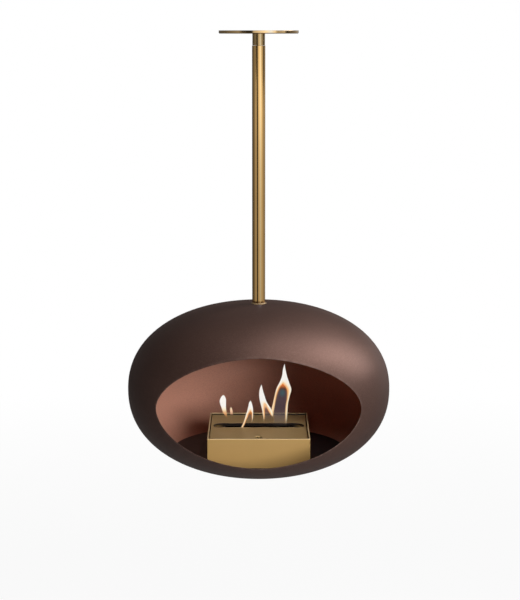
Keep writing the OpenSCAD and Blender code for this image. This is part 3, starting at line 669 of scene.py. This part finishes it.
# The tone in which the left and the right rim beside a heart grow warm, and the share of it
RIM_WARMTH = (PEACH, 0.9), (CREAM, 0.55)
# Share of cream that such a rim has at its inner side, and how fast a flame with no heart turns
# to cream
CREAM_SHARE, CREAM_RISE = 0.9, 1.6
# Share of the way inwards, or of the way down, at which a glow begins, and how fast it rises
GLOW_BEGINS, GLOW_RISE = 0.45, 1.8
# A rim's glow is fullest some millimetres under the heart's top, with a reach up and down; a
# share of it is kept everywhere and the rest is added there
GLOW_DEPTH, GLOW_REACH, GLOW_KEPT, GLOW_ADDED = 12, 42, 0.35, 0.65
# The heart's own glow: how far across it begins, how fast it rises, and how deep it goes
HEART_EDGE, HEART_RISE, HEART_DEPTH = 0.6, 2.2, 50
# How much taller than wide the blue patch is
BLUE_STRETCH = 1.4
# Shares of a flame's width: half the seam where its rims meet, and the least that a rim has
SEAM, LEAST_RIM = 0.02, 0.1
# Powers that draw a rim's columns to its edge, and that thin a narrow flame
RIM_SPREAD, DEPTH_POWER = 1.5, 0.6
# Share of its height under which a leaning flame bends, and the share of its lean by which it
# rises, so that it stays in place as seen
LEAN_TOP, LEAN_RISE = 0.35, 0.264

# Each flame as seen from the front, in millimetres: its edges, highest point first, as
# (height over BASE_Z, place along the slot). The heart is what the bright rim encloses: its
# stops are (depth under its top, colour, cover), and blue is (height, place, radius).
# fade gives the heights between which the left rim, the heart and the right rim die away, and
# warm those between which a flame with no heart grows warm.
FLAMES = {
    "flame_tall": {
        "left": [
            (145, 60), (130, 56), (115, 54), (101, 49), (86, 41.5), (69, 37), (50, 33), (36, 30),
            (20, 30), (-4, 31),
        ],
        "right": [
            (145, 60), (130, 62.5), (114, 66), (96, 72), (83, 76), (68, 72.5), (50, 68.5),
            (28, 67), (-4, 65.5),
        ],
        "heart_left": [(98, 56), (91, 49.5), (77, 43), (62, 39), (45, 36), (26, 33), (-4, 32.2)],
        "heart_right": [(98, 56), (92, 62), (81, 67), (62, 67), (45, 65), (28, 64.3), (-4, 64)],
        "fade": [(34, 18), (10, -4), (40, -4)],
        "heart": [
            (0, (224, 122, 62), 0.97), (5, (206, 108, 58), 0.95), (12, EMBER, 0.85),
            (20, VIOLET, 0.75), (60, VIOLET, 0.5), (77, (112, 98, 96), 0.3),
            (103, (130, 116, 104), 0.12),
        ],
        "blue": (76, 55, 8.5),
        "depth": 8.0,
        "shift": 1.0,
    },
    "flame_middle": {
        "left": [(96, 6.5), (85, 2.5), (70, 1), (56, 2.5), (42, 6), (30, 8.5), (18, 10), (-4, 10)],
        "right": [
            (96, 6.5), (81, 10), (69, 13.5), (54, 18.5), (43, 25), (35, 30), (24, 33), (-4, 33),
        ],
        "heart_left": [(49, 15.5), (40, 13.5), (28, 13.5), (18, 13.5), (-4, 13)],
        "heart_right": [(49, 15.5), (44, 17.5), (33, 23), (24, 28.5), (20, 31), (-4, 31.5)],
        "fade": [(30, 6), (40, 0), (26, 16)],
        "heart": [
            (0, CREAM, 0.95), (5, PEACH, 0.8), (12, (132, 92, 84), 0.5), (30, (112, 98, 92), 0.4),
            (50, VIOLET, 0.2),
        ],
        "blue": None,
        "depth": 6.0,
        "shift": -1.5,
    },
    "flame_low": {
        "left": [
            (57.5, -19), (51, -22.5), (42, -24.5), (32, -27), (24, -29.5), (14, -32.5), (3, -36),
            (-6, -40), (-10, -41.5),
        ],
        "right": [
            (57.5, -19), (50, -16), (42, -14), (34, -13), (23, -13), (13, -13.5), (2, -15.5),
            (-10, -18),
        ],
        "heart_left": [
            (32, -19.5), (26, -23.5), (19, -25.5), (10, -29.5), (1, -33), (-8, -38), (-10, -40.5),
        ],
        "heart_right": [(32, -19.5), (28, -16), (20, -16), (10, -16), (-10, -19)],
        "fade": [(-8, -10.5), (28, 2), (24, 2)],
        "heart": [
            (0, (226, 160, 96), 0.95), (5, (178, 104, 46), 0.9), (11, (120, 88, 80), 0.5),
            (28, (104, 90, 84), 0.2),
        ],
        "blue": None,
        "depth": 5.0,
        "shift": 0.0,
        "lean": -12.0,
    },
    "flame_round": {
        "left": [
            (69.5, -82), (68, -84.5), (64, -88), (56, -91), (48, -90), (39.5, -87), (31, -84.5),
            (24, -81), (16, -75.5), (-2, -70.5),
        ],
        "right": [
            (69.5, -82), (68.5, -80.5), (66, -78.5), (59, -76), (50, -76), (40, -76), (31, -75),
            (24, -74), (16, -72.5), (-2, -68.5),
        ],
        "fade": [(40, 10), (40, 10), (40, 10)],
        "warm": (46, 22),
        "depth": 6.0,
        "shift": 0.5,
    },
    "flame_small": {
        "left": [(42, -64.5), (36.5, -66.5), (28, -67), (21, -66.5), (6, -64.5), (-2, -64)],
        "right": [(42, -64.5), (35, -61.5), (27, -60), (21, -60), (6, -62.5), (-2, -63)],
        "fade": [(35, 20), (35, 20), (35, 20)],
        "warm": (50, 26),
        "tint": (238, 184, 148),
        "depth": 3.5,
        "shift": -0.5,
    },
}


def clamped(value):
    return min(max(value, 0.0), 1.0)


def linear(colour):
    """Scene-linear value of a screen colour; none here is near black."""
    return tuple(((c / 255 + 0.055) / 1.055) ** 2.4 for c in colour)


def blend_of(first, second, share):
    share = clamped(share)
    return tuple(a + (b - a) * share for a, b in zip(first, second))


def through(points, h):
    """Smooth curve through (height, value) points, highest first, read at a height."""
    if h >= points[0][0]:
        return points[0][1]
    if h <= points[-1][0]:
        return points[-1][1]
    i = next(k for k in range(len(points) - 1) if points[k + 1][0] <= h)
    (h0, v0), (h1, v1) = points[i], points[i + 1]
    before = points[max(i - 1, 0)]
    after = points[min(i + 2, len(points) - 1)]
    slope0 = (v1 - before[1]) / (h1 - before[0])
    slope1 = (after[1] - v0) / (after[0] - h0)
    step = h1 - h0
    t = (h - h0) / step
    return (
        (2 * t**3 - 3 * t**2 + 1) * v0
        + (t**3 - 2 * t**2 + t) * step * slope0
        + (3 * t**2 - 2 * t**3) * v1
        + (t**3 - t**2) * step * slope1
    )


def dying(fade, h):
    """1 over the fade's heights and 0 under them, smoothly."""
    high, low = fade
    t = clamped((h - low) / (high - low))
    return t * t * (3 - 2 * t)


def rim_look(flame, h, t, apex, side):
    """Colour and cover of the left rim (side 0) or the right; t runs from its edge inwards."""
    if "heart" in flame:
        warm = clamped((apex - h) / RIMS_WARM)
        tone, share = RIM_WARMTH[side]
        colour = blend_of(WHITE, tone, warm * share)
        colour = blend_of(colour, CREAM, t * CREAM_SHARE)
        near = max(0.0, 1 - abs(h - apex + GLOW_DEPTH) / GLOW_REACH)
        inwards = max(0.0, t - GLOW_BEGINS) * GLOW_RISE
        colour = blend_of(colour, RIM_GLOW, inwards * (GLOW_KEPT + GLOW_ADDED * near))
    else:
        warm = 1 - dying(flame["warm"], h)
        colour = blend_of(WHITE, CREAM, warm * CREAM_RISE)
        root = flame.get("tint", WARM_ROOT)
        colour = blend_of(colour, root, (warm - GLOW_BEGINS) * GLOW_RISE)
    return colour, dying(flame["fade"][2 * side], h)


def heart_look(flame, h, across, apex, x):
    """Colour and cover inside the rim; across runs from -1 to 1 between its sides."""
    stops, down = flame["heart"], apex - h
    colour, cover = stops[-1][1:]
    for (d0, c0, a0), (d1, c1, a1) in zip(stops, stops[1:]):
        if down <= d1:
            share = clamped((down - d0) / (d1 - d0))
            colour, cover = blend_of(c0, c1, share), a0 + (a1 - a0) * share
            break
    beside_rim = max(0.0, abs(across) - HEART_EDGE) * HEART_RISE
    colour = blend_of(colour, HEART_GLOW, beside_rim * max(0.0, 1 - down / HEART_DEPTH))
    if flame["blue"]:
        high, middle, radius = flame["blue"]
        away = math.hypot((h - high) / BLUE_STRETCH, x - middle) / radius
        colour = blend_of(colour, TEAL, 1 - away**2)
    return colour, cover * dying(flame["fade"][1], h)


def make_flame(name, flame):
    """A flame as a closed lens standing over the slot, wide across it and thin front to back."""
    left, right = flame["left"], flame["right"]
    top, bottom = left[0][0], left[-1][0]
    hearted = "heart" in flame
    apex, apex_x = flame["heart_left"][0] if hearted else (bottom, 0)
    rows = int((top - bottom) / ROW_STEP)
    columns = 2 * RIM_STEPS + HEART_STEPS + 1
    verts, glow, hide = [], [], []

    def put(x, h, y, colour, cover):
        lean = flame.get("lean", 0.0) * dying((bottom, top * LEAN_TOP), h)
        y, h = y + flame["shift"] + lean, h - LEAN_RISE * lean
        verts.append((x / 1000, SLOT_Y + y / 1000, BASE_Z + h / 1000))
        glow.append((*linear(colour), 1.0))
        hide.append(clamped(cover))

    put(left[0][1], top, 0.0, WHITE, 0.0)
    front, back = [], []
    for r in range(1, rows + 1):
        h = top - (top - bottom) * (r / rows) ** FLAME_SPREAD
        lo, hi = through(left, h), through(right, h)
        if hi - lo < LEAST_WIDTH:
            lo, hi = (lo + hi - LEAST_WIDTH) / 2, (lo + hi + LEAST_WIDTH) / 2
        width = hi - lo
        in_heart = hearted and h < apex
        if in_heart:
            inner = [through(flame["heart_left"], h), through(flame["heart_right"], h)]
        else:
            seam = 0.5
            if hearted:
                apex_lo, apex_hi = through(left, apex), through(right, apex)
                at_apex = (apex_x - apex_lo) / (apex_hi - apex_lo)
                seam = at_apex + (0.5 - at_apex) * (h - apex) / (top - apex)
            middle = lo + seam * width
            inner = [middle - SEAM * width, middle + SEAM * width]
        inner[0] = min(max(inner[0], lo + LEAST_RIM * width), hi - 2 * LEAST_RIM * width)
        inner[1] = min(max(inner[1], inner[0] + SEAM * width), hi - LEAST_RIM * width)
        # how far the rim's look runs towards that beside a heart; a flame without one has none
        inward = 0.0
        if hearted:
            inward = 1.0 if in_heart else 1 - min((h - apex) / RIMS_JOIN, 1)
        depth = flame["depth"] * min(1.0, width / FULL_DEPTH_WIDTH) ** DEPTH_POWER
        row = []
        for c in range(columns):
            if c <= RIM_STEPS:
                t = (c / RIM_STEPS) ** RIM_SPREAD
                x = lo + (inner[0] - lo) * t
                colour, cover = rim_look(flame, h, t * inward, apex, 0)
                edge = x - lo
            elif c < RIM_STEPS + HEART_STEPS:
                t = (c - RIM_STEPS) / HEART_STEPS
                x = inner[0] + (inner[1] - inner[0]) * t
                if in_heart:
                    colour, cover = heart_look(flame, h, 2 * t - 1, apex, x)
                else:
                    colour, cover = rim_look(flame, h, inward, apex, 0 if t < 0.5 else 1)
                edge = min(x - lo, hi - x)
            else:
                t = ((columns - 1 - c) / RIM_STEPS) ** RIM_SPREAD
                x = hi - (hi - inner[1]) * t
                colour, cover = rim_look(flame, h, t * inward, apex, 1)
                edge = hi - x
            off = 2 * (x - lo) / width - 1
            y = depth * math.sqrt(max(0.0, 1 - off * off))
            row.append((x, y, colour, cover * min(1.0, edge / EDGE_FADE)))
        front.append([len(verts) + c for c in range(columns)])
        for x, y, colour, cover in row:
            put(x, h, -y, colour, cover)
        # the back shares the front's first and last column
        behind = [len(verts) + c for c in range(columns - 2)]
        back.append([front[-1][0]] + behind + [front[-1][-1]])
        for x, y, colour, cover in row[1:-1]:
            put(x, h, y, colour, cover)
    faces = []
    for side, flip in ((front, False), (back, True)):
        for c in range(columns - 1):
            fan = (0, side[0][c], side[0][c + 1])
            faces.append(fan[::-1] if flip else fan)
            for above, below in zip(side, side[1:]):
                quad = (above[c], below[c], below[c + 1], above[c + 1])
                faces.append(quad[::-1] if flip else quad)
    f, b = front[-1], back[-1]
    faces.append((f[0], b[1], f[1]))
    faces += [(f[c], b[c], b[c + 1], f[c + 1]) for c in range(1, columns - 2)]
    faces.append((f[-2], b[-2], f[-1]))
    mesh = bpy.data.meshes.new(name)
    mesh.from_pydata(verts, [], faces)
    mesh.polygons.foreach_set("use_smooth", [True] * len(faces))
    colours = mesh.attributes.new("glow", "FLOAT_COLOR", "POINT")
    colours.data.foreach_set("color", [value for colour in glow for value in colour])
    mesh.attributes.new("hide", "FLOAT", "POINT").data.foreach_set("value", hide)
    faces_outward(mesh)
    piece = link(name, mesh, None, "burner")
    piece.visible_shadow = piece.visible_diffuse = False
    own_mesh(piece)


for flame_name, outline in FLAMES.items():
    make_flame(flame_name, outline)

# ---------------------------------------------------------------- stage and world

FLOOR_HALF, FLOOR_Z, FLOOR_WHITE = 60.0, -2.4, 0.82
FLOOR_CORNERS = (-1, -1), (1, -1), (1, 1), (-1, 1)
# Distances from the middle over which the floor's own colour runs out into plain white
WHITE_BEGINS, WHITE_ENDS, LEAST_WHITE = 3.0, 7.0, 0.9
AMBIENT = 0.045
# The studio that polished surfaces see round them, as panels and flags: (degrees from the
# camera's side, light) over the floor and along the horizon
COOL, FAR_COOL = (1.12, 1.42, 2.05), (1.45, 1.90, 3.00)
FLOOR_PANELS = [
    (-180, 0.07), (-125, 0.09), (-84, 0.30), (-62, 0.54), (-52, 0.82), (-37, 0.82), (-32, 0.02),
    (-17, 0.02), (-12, 0.60), (12, 1.15), (31, COOL), (52, 1.10), (90, 0.60), (150, 0.40),
    (180, 0.07),
]
HORIZON_PANELS = [
    (-180, 0.12), (-112, 0.16), (-60, 0.42), (-46, 0.06), (-19, 0.04), (-14, 0.80), (18, 1.70),
    (34, FAR_COOL), (48, 1.40), (56, 0.55), (80, 0.80), (86, 0.05), (99, 0.05), (106, 0.16),
    (150, 0.50), (180, 0.12),
]
# The floor's panels give a share of their light near by and another far away. Those in front
# have shares of their own; a sector is (degrees to its middle, to its sides, to its fading end)
SHARE_NEAR, SHARE_FAR = 10.0, 45.0
PANEL_SHARES = 0.70, 1.0
FRONT_SECTOR, FRONT_SHARES = (30, 28, 42), (0.60, 1.45)
# The floor close to the object is one dull grey
DULL, DULL_ENDS, PANELS_BEGIN = (0.15, 0.15, 0.15), 6.0, 10.0
# The room over the horizon, with a window and an overhead light; heights and aims are those of
# a direction of length 1
OVER_ROOM, ROOM_BEGINS, ROOM_FULL = (0.09, 0.09, 0.09), 0.1, 0.3
WINDOW_LIGHT, WINDOW_SECTOR = (4.0, 4.0, 4.0), (28, 10, 14)
WINDOW_FOOT, WINDOW_TOP = (0.08, 0.13), (0.36, 0.42)
OVERHEAD_LIGHT, OVERHEAD_AIM = (3.0, 3.0, 3.0), (0.330, 0.0885, 0.940)
OVERHEAD_EDGE = (0.87, 0.96)


def turn_of(nt, vector):
    """Turn of a direction about the upright axis: 0 behind, over 0.5 at the camera, to 1."""
    split = add(nt, "SeparateXYZ")
    nt.links.new(vector, split.inputs[0])
    forward = math_of(nt, "MULTIPLY", split.outputs["Y"], -1.0)
    turn = math_of(nt, "ARCTAN2", split.outputs["X"], forward)
    return ranged(nt, turn, 0.0, 1.0, -math.pi, math.pi)


def round_about(nt, turn, stops):
    """Light of the panels at a turn."""
    return ramp(nt, turn, [((degrees + 180) / 360, light) for degrees, light in stops])


def in_sector(nt, turn, sector):
    """1 between a sector's sides, and 0 beyond its fading ends."""
    middle, side, end = sector
    off = math_of(nt, "ABSOLUTE", math_of(nt, "SUBTRACT", turn, 0.5 + middle / 360))
    return ranged(nt, off, 1.0, 0.0, side / 360, end / 360)


def floor_panels(nt, place, distance):
    """The light that polished surfaces see on the floor."""
    turn = turn_of(nt, place)
    share = ranged(nt, distance, *PANEL_SHARES, SHARE_NEAR, SHARE_FAR)
    front_share = ranged(nt, distance, *FRONT_SHARES, SHARE_NEAR, SHARE_FAR)
    more = math_of(nt, "SUBTRACT", front_share, share)
    more = math_of(nt, "MULTIPLY", in_sector(nt, turn, FRONT_SECTOR), more)
    light = add(nt, "VectorMath", operation="SCALE")
    nt.links.new(round_about(nt, turn, FLOOR_PANELS), light.inputs[0])
    nt.links.new(math_of(nt, "ADD", share, more), light.inputs["Scale"])
    panels = ranged(nt, distance, 0.0, 1.0, DULL_ENDS, PANELS_BEGIN)
    return mixed(nt, panels, DULL, light.outputs[0])


def make_stage():
    """A wide pale floor, far below, that runs out into the white background."""
    mesh = bpy.data.meshes.new("floor")
    corners = [(x * FLOOR_HALF, y * FLOOR_HALF, FLOOR_Z) for x, y in FLOOR_CORNERS]
    mesh.from_pydata(corners, [], [(0, 1, 2, 3)])
    floor = bpy.data.objects.new("floor", mesh)
    bpy.context.scene.collection.objects.link(floor)
    mat, nt, shader = new_material("floor_white")
    shader.inputs["Base Color"].default_value = (FLOOR_WHITE, FLOOR_WHITE, FLOOR_WHITE, 1)
    shader.inputs["Roughness"].default_value = 0.9
    shader.inputs["Specular IOR Level"].default_value = 0.1
    glow = add(nt, "Emission")
    path = add(nt, "LightPath")
    seen = math_of(nt, "MAXIMUM", path.outputs["Is Camera Ray"], path.outputs["Is Glossy Ray"])
    seen = math_of(nt, "MAXIMUM", seen, path.outputs["Is Transmission Ray"])
    place = add(nt, "TexCoord").outputs["Object"]
    away = add(nt, "VectorMath", operation="LENGTH")
    nt.links.new(place, away.inputs[0])
    distance = away.outputs["Value"]
    white = ranged(nt, distance, LEAST_WHITE, 1.0, WHITE_BEGINS, WHITE_ENDS)
    room = floor_panels(nt, place, distance)
    shown = mixed(nt, path.outputs["Is Glossy Ray"], (1, 1, 1), room)
    nt.links.new(shown, glow.inputs["Color"])
    both = add(nt, "MixShader")
    nt.links.new(math_of(nt, "MULTIPLY", seen, white), both.inputs["Fac"])
    nt.links.new(shader.outputs[0], both.inputs[1])
    nt.links.new(glow.outputs[0], both.inputs[2])
    nt.links.new(both.outputs[0], nt.nodes["Material Output"].inputs["Surface"])
    mesh.materials.append(mat)


def make_world():
    """Even light, a white background, and for polished surfaces the rest of the studio."""
    world = bpy.data.worlds.new("studio")
    bpy.context.scene.world = world
    world.use_nodes = True
    nt = world.node_tree
    path = add(nt, "LightPath")
    direction = add(nt, "TexCoord").outputs["Generated"]
    turn = turn_of(nt, direction)
    split = add(nt, "SeparateXYZ")
    nt.links.new(direction, split.inputs[0])
    height = split.outputs["Z"]
    over = ranged(nt, height, 0.0, 1.0, ROOM_BEGINS, ROOM_FULL)
    room = mixed(nt, over, round_about(nt, turn, HORIZON_PANELS), OVER_ROOM)
    aim = add(nt, "VectorMath", operation="DOT_PRODUCT")
    nt.links.new(direction, aim.inputs[0])
    aim.inputs[1].default_value = OVERHEAD_AIM
    overhead = ranged(nt, aim.outputs["Value"], 0.0, 1.0, *OVERHEAD_EDGE)
    room = mixed(nt, overhead, room, OVERHEAD_LIGHT)
    above_foot = ranged(nt, height, 0.0, 1.0, *WINDOW_FOOT)
    below_top = ranged(nt, height, 1.0, 0.0, *WINDOW_TOP)
    window = math_of(nt, "MULTIPLY", above_foot, below_top)
    window = math_of(nt, "MULTIPLY", window, in_sector(nt, turn, WINDOW_SECTOR))
    room = mixed(nt, window, room, WINDOW_LIGHT)
    plain = mixed(nt, path.outputs["Is Glossy Ray"], (AMBIENT, AMBIENT, AMBIENT), room)
    camera_ray, through_ray = path.outputs["Is Camera Ray"], path.outputs["Is Transmission Ray"]
    seen = math_of(nt, "MAXIMUM", camera_ray, through_ray)
    nt.links.new(mixed(nt, seen, plain, (1, 1, 1)), nt.nodes["Background"].inputs["Color"])


make_stage()
make_world()

# ---------------------------------------------------------------- lamps and camera

# (name, place, where it points, its sides, watts, whether polished surfaces mirror it)
LAMPS = (
    ("key", (2.30, 0.70, 1.02), (0, 0, -0.82), (1.2, 2.2), 66, True),
    ("front", (1.45, -2.63, -0.08), (0, 0, -0.88), (1.2, 1.6), 218, False),
    ("high_front", (0.25, -2.6, 0.95), (0, -0.16, -0.90), (0.9, 0.5), 40, False),
    ("back", (-1.9, 2.0, -0.3), (0, 0, -0.7), (2.0, 2.0), 18, False),
)
# The camera, as solved from the photograph, with the lens and the middle column in pixels
PICTURE_W, PICTURE_H = 520, 600
LENS_PX, MIDDLE_X = 1527.9, 258.7
SENSOR = 36
CAMERA_PLACE = (0, -3.4892, 0.0017)
CAMERA_DOWN = 10.035


def area_light(name, place, target, sides, power, mirrored):
    """A rectangular lamp that points at a target."""
    data = bpy.data.lights.new(name, "AREA")
    data.shape = "RECTANGLE"
    data.size, data.size_y = sides
    data.energy = power
    lamp = bpy.data.objects.new(name, data)
    bpy.context.scene.collection.objects.link(lamp)
    lamp.location = place
    aim = Vector(target) - Vector(place)
    lamp.rotation_euler = aim.to_track_quat("-Z", "Y").to_euler()
    lamp.visible_glossy = mirrored


for lamp_row in LAMPS:
    area_light(*lamp_row)

camera = bpy.data.objects.new("camera", bpy.data.cameras.new("camera"))
bpy.context.scene.collection.objects.link(camera)
bpy.context.scene.camera = camera
camera.data.sensor_width = SENSOR
camera.data.lens = LENS_PX * SENSOR / PICTURE_H
camera.data.shift_x = (PICTURE_W / 2 - MIDDLE_X) / PICTURE_H
camera.location = CAMERA_PLACE
camera.rotation_euler = (math.radians(90 - CAMERA_DOWN), 0, 0)

bpy.context.scene.view_settings.view_transform = "Standard"
